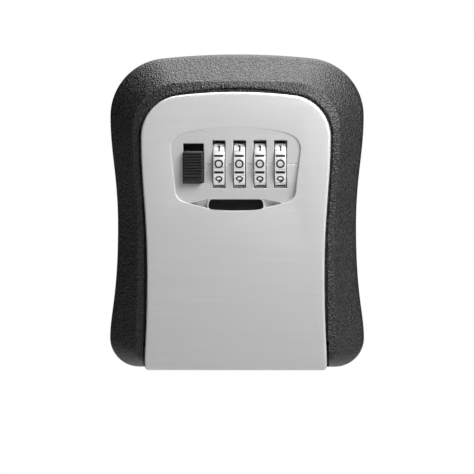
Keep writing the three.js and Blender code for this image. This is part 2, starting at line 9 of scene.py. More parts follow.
import bmesh
import bpy
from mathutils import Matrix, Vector


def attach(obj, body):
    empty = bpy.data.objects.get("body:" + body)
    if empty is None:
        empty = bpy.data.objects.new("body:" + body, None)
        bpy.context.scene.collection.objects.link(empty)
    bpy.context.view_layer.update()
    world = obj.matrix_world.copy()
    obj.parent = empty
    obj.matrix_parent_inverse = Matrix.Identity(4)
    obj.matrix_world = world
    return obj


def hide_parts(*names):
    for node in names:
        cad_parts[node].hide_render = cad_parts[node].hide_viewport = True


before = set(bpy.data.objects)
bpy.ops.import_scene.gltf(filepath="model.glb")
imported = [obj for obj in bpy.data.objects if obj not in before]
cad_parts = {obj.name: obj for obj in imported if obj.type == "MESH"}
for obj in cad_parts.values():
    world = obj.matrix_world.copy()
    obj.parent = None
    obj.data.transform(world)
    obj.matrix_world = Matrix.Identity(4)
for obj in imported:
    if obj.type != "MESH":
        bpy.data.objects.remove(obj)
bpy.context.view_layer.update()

MM = 0.001
QUARTER = math.pi / 2
FINE = 20  # points on each side curve of an outline

# ---------------------------------------------------------------- sizes, in mm
CASE = dict(
    top=59.4, bottom=-59.2, bulge=48.2, bulge_z=36, waist=45.3, waist_z=-6,
    foot=48.3, corner_r=22, foot_r=11,
)
BAND_END = dict(
    top=48.6, bottom=-58.4, bulge=39.2, bulge_z=30, waist=37, waist_z=-14,
    foot=37.8, corner_r=18, foot_r=7,
)
OPENING = dict(
    top=46.1, bottom=-57.8, bulge=36.5, bulge_z=28, waist=34.4, waist_z=-20,
    foot=34.9, corner_r=16, foot_r=4,
)
DOOR = dict(
    top=44.4, bottom=-60, bulge=35.6, bulge_z=27.5, waist=33.3, waist_z=-24,
    foot=34.2, corner_r=15.7, foot_r=1.6,
)
REAR_PLATE_T = 2
SHOULDER = 22.8  # depth where the case is widest and its slope starts
BAND_DEPTH = 34.2  # depth where the slope ends at the front frame
CASE_FRONT = 35.3
LEDGE = 34.2  # depth of the step behind the door's edge
LEDGE_W = 1.6
WALL = 2.4
FLOOR_TOP = -56.6
NOTCH_DEPTH = 23.7  # the case's foot is open in front of this, for the hinge
NOTCH_TOP = -49
BELOW_CASE = -66
FAR_BELOW = -90

DOOR_BACK = 34.6
SKIN_BACK = 36.3  # depth of the inner face of the door's skin
DOOR_FRONT = 38.5
BELOW_DOOR = -70
PAST_FRONT = 45  # in front of everything on the door

HINGE_Z = -54
HINGE_DEPTH = 30
HINGE_BORE_R = 1.65
KNUCKLE_R = 4
KNUCKLE_SPANS = ((-31.5, -19.5), (19.5, 31.5))

AXIS_Z = 17.3
AXIS_DEPTH = 29.4
AXIS_BORE_R = 1.75
LUG_SPANS = ((-10.9, -9.1), (22.2, 24))
WHEEL_R = 10
WHEEL_HALF = 2.1
WHEEL_XS = [-6.3 + 7.7 * i for i in range(4)]
HUB_ROOM_R = 6.6
HUB_ROOM = (2.2, 5.2)  # from a wheel's middle to the right
DIGITS = 10

WINDOW_HALF_W = 2.4
WINDOW_HALF_H = 8.95
WINDOW_CUT = 28  # depth that the windows and the finger hole are cut to
BUTTON_X = -15.9
BUTTON_SLOT = (3.85, 10.2, 25.0)  # half width, lower and upper edge

PANEL_TOP = 31.0
PANEL_FOOT = 2.7
PANEL_SAG = -0.1
PANEL_DEPTH = (0.1, 3.0)  # below the door's front, at the top and at the foot
GROOVE_HALF = 17.4  # half the length of the finger groove under the panel
GROOVE_FLOOR = 33.3
HOUSING_SCREWS = [(-26, 33), (26, 33), (-25.6, -1.8), (25.6, -1.8)]
BOSS_R = 2.6
SCREW_HOLE = (1.4, 30, 37.4)  # radius, rear and front depth

FIGURE_HALF = 1.1  # half the width of a figure, between the centres of its strokes
FIGURE_RISE = 1.35  # half its height
STROKE_HALF = 0.29
BAR = (1.75, 0.43)  # half length and half width of the bar between two figures
GROOVE_BETWEEN = (0.22, 0.42)  # depth and half width of the wheel's groove under a bar


# ---------------------------------------------------------------- camera, light and surroundings
def make_camera():
    """The photograph's view: nearly straight on, a little from the right."""
    target = Vector((0, -0.020, -0.010))
    turn = math.radians(1.6)
    distance, sensor, view_width = 1.4, 36, 0.180
    data = bpy.data.cameras.new("camera")
    camera = bpy.data.objects.new("camera", data)
    bpy.context.collection.objects.link(camera)
    camera.location = target + distance * Vector((math.sin(turn), -math.cos(turn), 0))
    camera.rotation_euler = (target - camera.location).to_track_quat("-Z", "Y").to_euler()
    data.sensor_width = sensor
    data.lens = sensor * distance / view_width
    data.clip_start = 0.05
    data.clip_end = 50
    bpy.context.scene.camera = camera


def area_light(name, place, aim, size, power):
    """A soft light that the camera doesn't see."""
    data = bpy.data.lights.new(name, "AREA")
    data.shape = "RECTANGLE"
    data.size, data.size_y = size
    data.energy = power
    light = bpy.data.objects.new(name, data)
    bpy.context.collection.objects.link(light)
    light.location = place
    light.visible_camera = False
    light.rotation_euler = (Vector(aim) - light.location).to_track_quat("-Z", "Y").to_euler()


def light_the_scene():
    """A small key in front, a wide light overhead, one on each side and one for the floor."""
    area_light("key", (0.15, -0.21, 0.18), (0, -0.03, 0.01), (0.16, 0.16), 1.2)
    area_light("overhead", (0.05, 0.02, 0.62), (0, -0.03, 0.05), (0.55, 0.40), 5.0)
    area_light("right_side", (0.80, -0.08, 0.10), (0, -0.03, 0), (0.45, 0.60), 1.5)
    area_light("left_side", (-0.90, -0.85, 0.10), (0, -0.03, 0), (0.70, 1.00), 2.5)
    area_light("floor_wash", (0.2, 1.5, 1.7), (0, 0.5, -0.36), (2.0, 2.0), 32)


def white_background(nodes, strength):
    node = nodes.new("ShaderNodeBackground")
    node.inputs["Strength"].default_value = strength
    node.inputs["Color"].default_value = (1, 1, 1, 1)
    return node


def make_world():
    """White where the camera looks past the box, and almost no light on the box itself."""
    world = bpy.data.worlds.new("studio")
    bpy.context.scene.world = world
    world.use_nodes = True
    nodes, links = world.node_tree.nodes, world.node_tree.links
    nodes.clear()
    output = nodes.new("ShaderNodeOutputWorld")
    seen, lit = white_background(nodes, 1.0), white_background(nodes, 0.015)
    pick = nodes.new("ShaderNodeMixShader")
    path = nodes.new("ShaderNodeLightPath")
    links.new(path.outputs["Is Camera Ray"], pick.inputs[0])
    links.new(lit.outputs[0], pick.inputs[1])
    links.new(seen.outputs[0], pick.inputs[2])
    links.new(pick.outputs[0], output.inputs[0])


def make_floor():
    """A plain pale disc below the box."""
    sides, radius, drop = 96, 2.0, -0.36
    mesh = bpy.data.meshes.new("floor")
    mesh.from_pydata([(x, y, drop) for x, y in circle(radius, sides)], [], [list(range(sides))])
    floor = bpy.data.objects.new("floor", mesh)
    bpy.context.collection.objects.link(floor)
    mat, _, _ = new_material("floor_paint", (0.9, 0.9, 0.91), 0.8)
    mesh.materials.append(mat)


# ---------------------------------------------------------------- materials
NOISE_SPAN = (0.3, 0.7)  # the part of a noise's range that most of it falls in


def new_material(name, color, roughness, metallic=0.0):
    """A material, its node tree and its shader."""
    mat = bpy.data.materials.new(name)
    mat.use_nodes = True
    shader = mat.node_tree.nodes["Principled BSDF"]
    shader.inputs["Base Color"].default_value = (*color, 1)
    shader.inputs["Roughness"].default_value = roughness
    shader.inputs["Metallic"].default_value = metallic
    return mat, mat.node_tree, shader


def grain(tree, scale, detail, stretch=(1, 1, 1)):
    """A noise of that many cells per metre in the object's own coordinates."""
    coords = tree.nodes.new("ShaderNodeTexCoord")
    mapping = tree.nodes.new("ShaderNodeMapping")
    mapping.inputs["Scale"].default_value = stretch
    noise = tree.nodes.new("ShaderNodeTexNoise")
    noise.inputs["Scale"].default_value = scale
    noise.inputs["Detail"].default_value = detail
    noise.inputs["Roughness"].default_value = 0.6
    tree.links.new(coords.outputs["Object"], mapping.inputs["Vector"])
    tree.links.new(mapping.outputs["Vector"], noise.inputs["Vector"])
    return noise.outputs["Fac"]


def roughen(tree, shader, value, low, high):
    """Lets a noise vary the roughness between two numbers."""
    node = tree.nodes.new("ShaderNodeMapRange")
    node.inputs["From Min"].default_value, node.inputs["From Max"].default_value = NOISE_SPAN
    node.inputs["To Min"].default_value = low
    node.inputs["To Max"].default_value = high
    tree.links.new(value, node.inputs["Value"])
    tree.links.new(node.outputs["Result"], shader.inputs["Roughness"])


def tint(tree, shader, value, dark, light, span=NOISE_SPAN):
    """Lets a noise vary the colour between two tones."""
    ramp = tree.nodes.new("ShaderNodeValToRGB")
    for element, position, tone in zip(ramp.color_ramp.elements, span, (dark, light)):
        element.position = position
        element.color = (*tone, 1)
    tree.links.new(value, ramp.inputs["Fac"])
    tree.links.new(ramp.outputs["Color"], shader.inputs["Base Color"])


def bump(tree, shader, value, distance, strength):
    """Lets a noise raise the surface by up to that distance, in metres."""
    node = tree.nodes.new("ShaderNodeBump")
    node.inputs["Distance"].default_value = distance
    node.inputs["Strength"].default_value = strength
    tree.links.new(value, node.inputs["Height"])
    tree.links.new(node.outputs["Normal"], shader.inputs["Normal"])


def powder_coat():
    """Black paint with a grainy surface; its pale specks are painted glints that stand in for the
    textured coat's sparkle.
    """
    mat, tree, shader = new_material("textured_black", (0.02, 0.02, 0.021), 0.5)
    grain_and_painted_glints, pits = grain(tree, 1500, 1.0), grain(tree, 1450, 1.0)
    # Painted glints: pale specks in the base colour stand in for the coat's sparkle under the
    # lights; the same noise also varies the roughness.
    tint(tree, shader, grain_and_painted_glints, (0.002, 0.002, 0.0022), (0.03, 0.03, 0.031), (0.42, 0.66))
    roughen(tree, shader, grain_and_painted_glints, 0.34, 0.5)
    bump(tree, shader, pits, 0.0004, 1.0)
    return mat


def satin_silver():
    """Silver paint with faint streaks across the door."""
    mat, tree, shader = new_material("satin_silver", (0.6, 0.6, 0.61), 0.45, 0.35)
    streaks, flecks = grain(tree, 700, 3.0, (0.04, 1, 1)), grain(tree, 2600, 2.0)
    tint(tree, shader, streaks, (0.585, 0.585, 0.59), (0.615, 0.615, 0.62))
    roughen(tree, shader, flecks, 0.4, 0.5)
    bump(tree, shader, flecks, 0.000008, 0.5)
    return mat


def cast_metal(name, tone, roughness=0.48):
    """Bare cast metal with dull clouds and small pits."""
    mat, tree, shader = new_material(name, tone, roughness, 0.8)
    clouds, pits = grain(tree, 260, 6.0), grain(tree, 1800, 3.0)
    tint(tree, shader, clouds, tuple(0.91 * c for c in tone), tone)
    roughen(tree, shader, clouds, roughness - 0.04, roughness + 0.05)
    bump(tree, shader, pits, 0.00004, 0.6)
    return mat


def plated_steel(name, tone, roughness, stretch=(1, 1, 0.05), metallic=1.0):
    """Bright metal with fine lines, which run along the axis of the smallest stretch."""
    mat, tree, shader = new_material(name, tone, roughness, metallic)
    lines = grain(tree, 1400, 4.0, stretch)
    tint(tree, shader, lines, tuple(0.86 * c for c in tone), tone)
    roughen(tree, shader, lines, roughness * 0.8, roughness * 1.3)
    bump(tree, shader, lines, 0.00001, 0.4)
    return mat


def moulded_plastic(name, tone, roughness):
    """Plain plastic with a faint mould texture."""
    mat, tree, shader = new_material(name, tone, roughness)
    spark = grain(tree, 1600, 3.0)
    tint(tree, shader, spark, tone, tuple(1.8 * c for c in tone))
    roughen(tree, shader, spark, roughness - 0.06, roughness + 0.08)
    bump(tree, shader, spark, 0.00002, 0.5)
    return mat


# ---------------------------------------------------------------- outlines, as (x, z) points
def shrink(outline, by):
    """The outline's sizes pulled in by that much all round."""
    out = dict(outline)
    out["top"] -= by
    out["bottom"] += by
    for key in ("bulge", "waist", "foot", "corner_r"):
        out[key] -= by
    out["foot_r"] = max(outline["foot_r"] - by, 0.6)
    return out


def arc(cx, cz, r, start, end, steps):
    """Points on an arc, without its last one."""
    angles = [start + (end - start) * i / steps for i in range(steps)]
    return [(cx + r * math.cos(a), cz + r * math.sin(a)) for a in angles]


def circle(r, sides, cx=0, cz=0):
    angles = [2 * math.pi * i / sides for i in range(sides)]
    return [(cx + r * math.cos(a), cz + r * math.sin(a)) for a in angles]


def bezier(controls, steps):
    """Points on a curve with three or four control points, without its last one."""
    points = []
    for i in range(steps):
        t = i / steps
        u = 1 - t
        weights = (u**2, 2 * t * u, t * t)
        if len(controls) == 4:
            weights = (u**3, 3 * u * u * t, 3 * u * t * t, t**3)
        points.append(tuple(sum(w * p[k] for w, p in zip(weights, controls)) for k in (0, 1)))
    return points


def mirrored(half):
    """A closed outline from its right half, which runs from the foot's middle to the top's."""
    left = [(-x, z) for x, z in reversed(half[1:-1])]
    return half + left


def waisted(top, bottom, bulge, bulge_z, waist, waist_z, foot, corner_r, foot_r):
    """Straight foot, sides that pull in to a waist, round shoulders and a shallow top arc."""
    corner_x = bulge - corner_r
    rise = bulge_z - top
    top_r = (corner_r**2 - corner_x**2 - rise**2) / (2 * (rise + corner_r))
    meet = math.atan2(bulge_z - top + top_r, corner_x)
    foot_top = bottom + foot_r
    low, high = waist_z - foot_top, bulge_z - waist_z
    to_waist = (
        (foot, foot_top), (foot, foot_top + 0.22 * low),
        (waist, waist_z - 0.62 * low), (waist, waist_z),
    )
    to_bulge = (
        (waist, waist_z), (waist, waist_z + 0.46 * high),
        (bulge, bulge_z - 0.34 * high), (bulge, bulge_z),
    )
    half = [(0, bottom)]
    half += arc(foot - foot_r, foot_top, foot_r, -QUARTER, 0, FINE)
    half += bezier(to_waist, FINE) + bezier(to_bulge, FINE)
    half += arc(corner_x, bulge_z, corner_r, 0, meet, FINE)
    half += arc(0, top - top_r, top_r, meet, QUARTER, FINE)
    half.append((0, top))
    return mirrored(half)


def dial_panel(grow=0.0):
    """The dial panel's outline: arched on top, sides that lean in, and a sagging foot."""
    side_top, side_foot, side_start, pieces = 24.4, 22.6, PANEL_FOOT + 5, 6
    foot = PANEL_FOOT - grow
    middle = (PANEL_SAG * 2 - PANEL_FOOT - grow + foot) / 2
    lean, piece_z = side_top - side_foot, 2.5
    shoulder = (side_top - 7.5, PANEL_TOP - 1.6 + grow)
    foot_corner = (
        (GROOVE_HALF, foot),
        (side_foot + grow, PANEL_FOOT + 0.8 - grow),
        (side_foot + grow, side_start),
    )
    top_corner = (
        (side_top + grow, PANEL_FOOT + 20),
        (side_top + grow, PANEL_TOP - 3 + grow),
        shoulder,
    )
    half = bezier(((0, middle), (GROOVE_HALF / 2, middle), (GROOVE_HALF, foot)), 10)
    half += bezier(foot_corner, 14)
    half += [
        (side_foot + grow + lean * i / pieces, side_start + piece_z * i) for i in range(pieces)
    ]
    half += bezier(top_corner, 14)
    half += bezier((shoulder, (8.5, PANEL_TOP + grow), (0, PANEL_TOP + grow)), 10)
    half.append((0, PANEL_TOP + grow))
    return mirrored(half)


def rounded_box(x0, x1, z0, z1, r, steps=6):
    points = []
    corners = (
        (x1 - r, z0 + r, -90), (x1 - r, z1 - r, 0), (x0 + r, z1 - r, 90), (x0 + r, z0 + r, 180)
    )
    for cx, cz, degrees in corners:
        start = math.radians(degrees)
        end = start + QUARTER
        points += arc(cx, cz, r, start, end, steps)
        points.append((cx + r * math.cos(end), cz + r * math.sin(end)))
    return points


def groove_outline(grow=0.0):
    """The finger groove under the dial panel, a long crescent."""
    end_x, low = GROOVE_HALF + grow, PANEL_SAG - grow
    half = bezier(((0, low), (end_x / 2, low), (end_x, PANEL_FOOT)), 12)
    half += [(end_x, PANEL_FOOT + 0.03), (10.7, 4.2 + grow), (0, 4.3 + grow)]
    return mirrored(half)


def mouth_outline(grow=0.0):
    """The finger hole in the groove."""
    w, low, high = 10.4 + grow, -0.1 - grow, 4.1 + grow
    half = bezier(((0, low), (w - 4, low), (w - 1.2, low + 0.5)), 8)
    half += bezier(((w - 1.2, low + 0.5), (w, low + 0.8), (w, low + 1.7)), 6)
    half += bezier(((w, low + 1.7), (w - 0.1, high), (w - 1.6, high)), 6)
    half += [(w - 1.6, high), (0, high)]
    return mirrored(half)


# ---------------------------------------------------------------- solids
def solid(name, verts, faces):
    """A closed object from vertices in mm, with its faces turned outwards."""
    mesh = bpy.data.meshes.new(name)
    mesh.from_pydata([(x * MM, y * MM, z * MM) for x, y, z in verts], [], faces)
    work = bmesh.new()
    work.from_mesh(mesh)
    bmesh.ops.remove_doubles(work, verts=work.verts, dist=1e-7)
    bmesh.ops.recalc_face_normals(work, faces=work.faces)
    work.to_mesh(mesh)
    work.free()
    obj = bpy.data.objects.new(name, mesh)
    bpy.context.collection.objects.link(obj)
    return obj


def skin_faces(n, rings):
    """Faces of a closed skin through that many rings of n vertices each."""
    faces = [list(range(n)), list(range((rings - 1) * n, rings * n))]
    for r in range(rings - 1):
        for i in range(n):
            j = (i + 1) % n
            faces.append([r * n + i, r * n + j, (r + 1) * n + j, (r + 1) * n + i])
    return faces


def loft(rings, name="tool"):
    """A solid through (depth, outline) rings with the same number of points."""
    verts = [(x, -depth, z) for depth, outline in rings for x, z in outline]
    return solid(name, verts, skin_faces(len(rings[0][1]), len(rings)))


def prism_across(x0, x1, side):
    """A solid with the same (depth, z) outline from x0 to x1."""
    verts = [(x, -depth, z) for x in (x0, x1) for depth, z in side]
    return solid("tool", verts, skin_faces(len(side), 2))


def rounded_rings(rings, steps=6):
    """Turns (depth, outline, rounding) rings into rings for loft, with each edge rounded."""
    out = [rings[0][:2]]
    for before, here, after in zip(rings, rings[1:], rings[2:]):
        points = [[(x, -ring[0], z) for x, z in ring[1]] for ring in (before, here, after)]
        back = sum(math.dist(a, b) for a, b in zip(points[0], points[1])) / len(points[0])
        on = sum(math.dist(a, b) for a, b in zip(points[1], points[2])) / len(points[0])
        reach_back, reach_on = min(0.48, here[2] / back), min(0.48, here[2] / on)
        for i in range(steps + 1):
            t = i / steps
            wa, wc = (1 - t) ** 2 * reach_back, t * t * reach_on
            wb = 1 - wa - wc
            depth = wa * before[0] + wb * here[0] + wc * after[0]
            outline = [
                tuple(wa * a[k] + wb * b[k] + wc * c[k] for k in (0, 1))
                for a, b, c in zip(before[1], here[1], after[1])
            ]
            out.append((depth, outline))
    out.append(rings[-1][:2])
    return out


def slab(outline, back, front):
    return loft([(back, outline), (front, outline)])


def block(x0, x1, z0, z1, back, front):
    return slab([(x0, z0), (x1, z0), (x1, z1), (x0, z1)], back, front)


def rod_across(r, x0, x1, z, depth, sides=64):
    return prism_across(x0, x1, [(depth - a, z + b) for a, b in circle(r, sides)])


def rod_deep(r, x, z, back, front, sides=40):
    return slab(circle(r, sides, x, z), back, front)


def combine(target, others, operation):
    """Joins, cuts or crosses a solid with others, and deletes those."""
    for other in others:
        mod = target.modifiers.new("boolean", "BOOLEAN")
        mod.solver = "MANIFOLD"
        mod.operation = operation
        mod.object = other
        dg = bpy.context.evaluated_depsgraph_get()
        mesh = bpy.data.meshes.new_from_object(target.evaluated_get(dg))
        target.modifiers.clear()
        target.data = mesh
        bpy.data.objects.remove(other)
    return target


def join(target, *others):
    return combine(target, others, "UNION")


def cut(target, *others):
    return combine(target, others, "DIFFERENCE")


def cross(target, *others):
    return combine(target, others, "INTERSECT")


def finish_piece(obj, name, material, body, slot, *nodes, smooth=32):
    """Names and paints a piece, and ties it to its CAD body and nodes."""
    obj.name = name
    obj.data.name = name
    obj.data.materials.clear()
    obj.data.materials.append(material)
    obj.data.shade_smooth()
    obj.data.set_sharp_from_angle(angle=math.radians(smooth))
    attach(obj, body)
    if nodes:
        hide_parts(*nodes)


def repaint(node, material, bevel=0.12):
    """A CAD node that keeps its shape gets a finish and edges softened by that many mm."""
    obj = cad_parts[node]
    for held in obj.material_slots:
        held.material = material
    if bevel:
        mod = obj.modifiers.new("edges", "BEVEL")
        mod.width = bevel * MM
        mod.segments = 2
        mod.limit_method = "ANGLE"
        mod.angle_limit = math.radians(30)
        mod.harden_normals = False


# ---------------------------------------------------------------- the case
def case_outside():
    """The outside of the case, filled: a plain rear part, a long slope and a narrow front frame."""
    rings = [
        (0, waisted(**shrink(CASE, 1.9)), 0),
        (0, waisted(**shrink(CASE, 0.9)), 0.7),
        (SHOULDER, waisted(**CASE), 2.6),
        (BAND_DEPTH, waisted(**BAND_END), 0.4),
        (CASE_FRONT, waisted(**shrink(OPENING, -0.5)), 0.5),
        (CASE_FRONT, waisted(**shrink(OPENING, 1.2)), 0),
    ]
    return loft(rounded_rings(rings), "case")


def make_case_shell(material):
    """The case with its key space, the room round that, the door's ledge and the hinge's notch."""
    shell = case_outside()
    key_space = dict(shrink(OPENING, LEDGE_W), bottom=FLOOR_TOP, foot_r=3)
    key_wall = dict(shrink(OPENING, LEDGE_W - WALL), bottom=FAR_BELOW)
    room = slab(waisted(**shrink(CASE, WALL + 0.4)), REAR_PLATE_T, SHOULDER)
    cut(room, slab(waisted(**key_wall), 0, SHOULDER + 1))
    notch_x = OPENING["foot"]
    cut(
        shell,
        slab(waisted(**key_space), REAR_PLATE_T, LEDGE + 1),
        slab(waisted(**dict(OPENING, bottom=BELOW_CASE)), LEDGE, CASE_FRONT + 1),
        block(-notch_x, notch_x, BELOW_CASE, NOTCH_TOP, NOTCH_DEPTH, CASE_FRONT + 1),
        slab(waisted(**shrink(CASE, WALL)), -1, REAR_PLATE_T + 0.3),
        room,
    )
    finish_piece(shell, "case_casting", material, "case", "textured_black", "case_shell")


# ---------------------------------------------------------------- the door
def panel_lean(z, behind=0.0):
    """Depth of the dial panel's leaning floor at that height."""
    slope = (PANEL_DEPTH[1] - PANEL_DEPTH[0]) / (PANEL_TOP - PANEL_FOOT)
    return DOOR_FRONT - PANEL_DEPTH[0] - (PANEL_TOP - z) * slope - behind


def in_front_of_panel(behind=0.0):
    """Everything in front of the panel's floor, or of a plane that far behind it."""
    low, high, far = -20, 50, 60
    at_low, at_high = panel_lean(low, behind), panel_lean(high, behind)
    return prism_across(-40, 40, [(at_low, low), (far, low), (far, high), (at_high, high)])


def panel_cutter():
    """The sunk dial panel with a rounded lip."""
    back, lip, steps = 30, 0.35, 6
    rings = [(back, dial_panel())]
    for i in range(steps + 1):
        a = QUARTER * i / steps
        outline = dial_panel(lip * (1 - math.cos(a)))
        rings.append((DOOR_FRONT - lip + lip * math.sin(a), outline))
    rings.append((PAST_FRONT, dial_panel(lip)))
    return cross(loft(rings), in_front_of_panel())


def window_cutter(x0, x1, z0, z1):
    """A straight window whose front edge is slightly opened, along the leaning panel."""
    middle = (z0 + z1) / 2
    face, lip, r = panel_lean(middle), 0.25, 0.3
    straight = rounded_box(x0, x1, z0, z1, r)
    opened = rounded_box(x0 - lip, x1 + lip, z0 - lip, z1 + lip, r + lip)
    rings = [(WINDOW_CUT, straight), (face - 1.2, straight), (face - lip, straight)]
    tool = loft(rings + [(face, opened), (PAST_FRONT, opened)])
    slope = (panel_lean(z1) - panel_lean(z0)) / (z1 - z0)
    for v in tool.data.vertices:
        if -v.co.y / MM > face - 1:
            v.co.y -= slope * (v.co.z - middle * MM)
    return tool


def groove_cutter():
    """The groove: its upper side slopes inwards from the panel's foot, down to a flat floor."""
    top, bottom, far = 4.4, -5, 60
    start = panel_lean(top)
    low = top - (start - GROOVE_FLOOR)
    side = [
        (start, top), (GROOVE_FLOOR, low), (GROOVE_FLOOR, bottom),
        (far, bottom), (far, top + 2), (start, top + 2),
    ]
    return cross(slab(groove_outline(), 25, PAST_FRONT), prism_across(-25, 25, side))


def mouth_rim():
    """A thin raised frame round the finger hole."""
    back, face, bevel = 32.9, 35.5, 0.15
    wide, narrow = mouth_outline(0.45), mouth_outline(0.3)
    rim = loft([(back, wide), (face - bevel, wide), (face, narrow)])
    return cross(rim, slab(groove_outline(-0.05), 30, 40))


def index_line_cutter():
    """The fine line across the panel at the height of the wheels' axis."""
    r, left, right, in_front = 0.32, -11.7, 24.0, 0.05
    line = rod_across(r, left, right, 0, 0, sides=16)
    line.location = (0, -(panel_lean(AXIS_Z) + in_front) * MM, AXIS_Z * MM)
    bpy.context.view_layer.update()
    return line


def door_skin(inside):
    """The door's front and sides, open behind and along the foot."""
    rings = [
        (DOOR_BACK, waisted(**shrink(DOOR, 2.4)), 0),
        (DOOR_BACK, waisted(**shrink(DOOR, 0.05)), 0.3),
        (DOOR_FRONT, waisted(**DOOR), 1.25),
        (DOOR_FRONT, waisted(**shrink(DOOR, 3.5)), 0),
    ]
    skin = loft(rounded_rings(rings, steps=8), "door")
    open_foot = block(-40, 40, BELOW_DOOR, -51, 0, SKIN_BACK)
    return cut(skin, slab(waisted(**inside), 0, SKIN_BACK), open_foot)


def door_rim(inside):
    """The low wall that steps into the case's opening."""
    rim = slab(waisted(**dict(shrink(DOOR, 1.9), bottom=-50)), DOOR_BACK - 3.4, DOOR_BACK + 1)
    return cut(rim, slab(waisted(**inside), DOOR_BACK - 5, DOOR_FRONT))


def door_backing():
    """Metal behind the sunk panel, and more of it behind the groove."""
    front = DOOR_FRONT - 0.5
    backing = cross(slab(dial_panel(2), 32, front), in_front_of_panel(2))
    thick = cross(slab(dial_panel(1.5), 30, front), block(-19.5, 19.5, -2.5, 5.8, 33.05, 40))
    return [backing, thick]


def door_fittings():
    """The shaft's lugs, the bosses for the housing's screws, and the hinge knuckles."""
    lug_z, lug_back, lug_front = 3.2, AXIS_DEPTH - 3, 36.3
    parts = [
        block(a, b, AXIS_Z - lug_z, AXIS_Z + lug_z, lug_back, lug_front) for a, b in LUG_SPANS
    ]
    parts += [rod_deep(BOSS_R, x, z, DOOR_BACK, SKIN_BACK + 0.5) for x, z in HOUSING_SCREWS]
    foot, head = HINGE_Z - KNUCKLE_R, HINGE_Z + KNUCKLE_R
    for a, b in KNUCKLE_SPANS:
        parts.append(rod_across(KNUCKLE_R, a, b, HINGE_Z, HINGE_DEPTH))
        parts.append(block(a, b, foot, head, HINGE_DEPTH, SKIN_BACK + 0.3))
    return parts


def make_door(material):
    inside = dict(shrink(DOOR, 3.7), bottom=BELOW_DOOR)
    door = door_skin(inside)
    join(door, door_rim(inside), *door_backing(), *door_fittings())
    cut(door, panel_cutter(), groove_cutter())
    join(door, mouth_rim())
    window_z = (AXIS_Z - WINDOW_HALF_H, AXIS_Z + WINDOW_HALF_H)
    for x in WHEEL_XS:
        cut(
            door,
            window_cutter(x - WINDOW_HALF_W, x + WINDOW_HALF_W, *window_z),
            rod_across(HUB_ROOM_R, x + HUB_ROOM[0], x + HUB_ROOM[1], AXIS_Z, AXIS_DEPTH),
        )
    half, low, high = BUTTON_SLOT
    hole_r, hole_back, hole_front = SCREW_HOLE
    cut(
        door,
        window_cutter(BUTTON_X - half, BUTTON_X + half, low, high),
        slab(mouth_outline(), WINDOW_CUT, PAST_FRONT),
        index_line_cutter(),
        rod_across(HINGE_BORE_R, -40, 40, HINGE_Z, HINGE_DEPTH, sides=32),
        rod_across(AXIS_BORE_R, -12, 25, AXIS_Z, AXIS_DEPTH, sides=32),
        *[rod_deep(hole_r, x, z, hole_back, hole_front, sides=24) for x, z in HOUSING_SCREWS],
    )
    finish_piece(door, "door_casting", material, "door", "satin_silver", "door_panel", smooth=28)


def make_finger_cup(material):
    """The black cup behind the finger hole, wider than the hole so that a nail catches the edge."""
    back, front, floor = 29.8, 33, 30.6
    cup = slab(rounded_box(-12.3, 12.3, -3.6, 5.6, 1.4), back, front)
    room = rounded_box(-10.7, 10.7, -2.2, 4.4, 1.0)
    floor_edge = rounded_box(-9.9, 9.9, -1.4, 3.6, 1.0)
    cut(cup, loft([(floor, floor_edge), (floor + 0.8, room), (front + 3, room)]))
    finish_piece(cup, "finger_pull_cup", material, "door", "black_plastic", "finger_cup")


# ---------------------------------------------------------------- the number wheels
def ring_stroke(cx, cz, rx, rz, start=0, end=360, steps=28):
    turn = [math.radians(start + (end - start) * i / steps) for i in range(steps + 1)]
    return [(cx + rx * math.cos(a), cz + rz * math.sin(a)) for a in turn]


def digit_strokes(n):
    """The centre lines of a plain figure, drawn round its own middle."""
    w, h = FIGURE_HALF, FIGURE_RISE
    if n == 0:
        return [ring_stroke(0, 0, h, h)]
    if n == 1:
        return [[(-0.5, h - 0.5), (0.1, h), (0.1, -h)]]
    if n == 2:
        return [ring_stroke(0, h - w * 0.8, w, w * 0.8, 170, -35) + [(-w, -h), (w, -h)]]
    if n == 3:
        upper = ring_stroke(0, 0.62, w * 0.9, 0.68, 150, -90, 18)
        return [upper, ring_stroke(0, -0.62, w, 0.68, 90, -150, 18)]
    if n == 4:
        return [[(0.4, -h), (0.4, h), (-w, -0.45), (w, -0.45)]]
    if n == 5:
        hook = ring_stroke(-0.05, -0.42, w, 0.88, 125, -145, 20)
        return [[(w, h), (-0.75, h), (-0.85, 0.15)] + hook]
    if n == 6:
        return [ring_stroke(0, -0.45, w, 0.85), [(-w, -0.45), (-0.7, 0.6), (0.35, h)]]
    if n == 7:
        return [[(-w, h), (w, h), (-0.25, -h)]]
    if n == 8:
        return [ring_stroke(0, 0.65, w * 0.85, 0.65), ring_stroke(0, -0.65, w, 0.65)]
    return [ring_stroke(0, 0.45, w, 0.85), [(w, 0.45), (0.7, -0.6), (-0.35, -h)]]


def refined(points, step=0.25):
    """The same line with a point at least every step, so that it can wrap round a wheel."""
    out = []
    for a, b in zip(points, points[1:]):
        parts = max(1, math.ceil(math.dist(a, b) / step))
        for k in range(parts):
            out.append(tuple(a[m] + (b[m] - a[m]) * k / parts for m in (0, 1)))
    return out + [points[-1]]


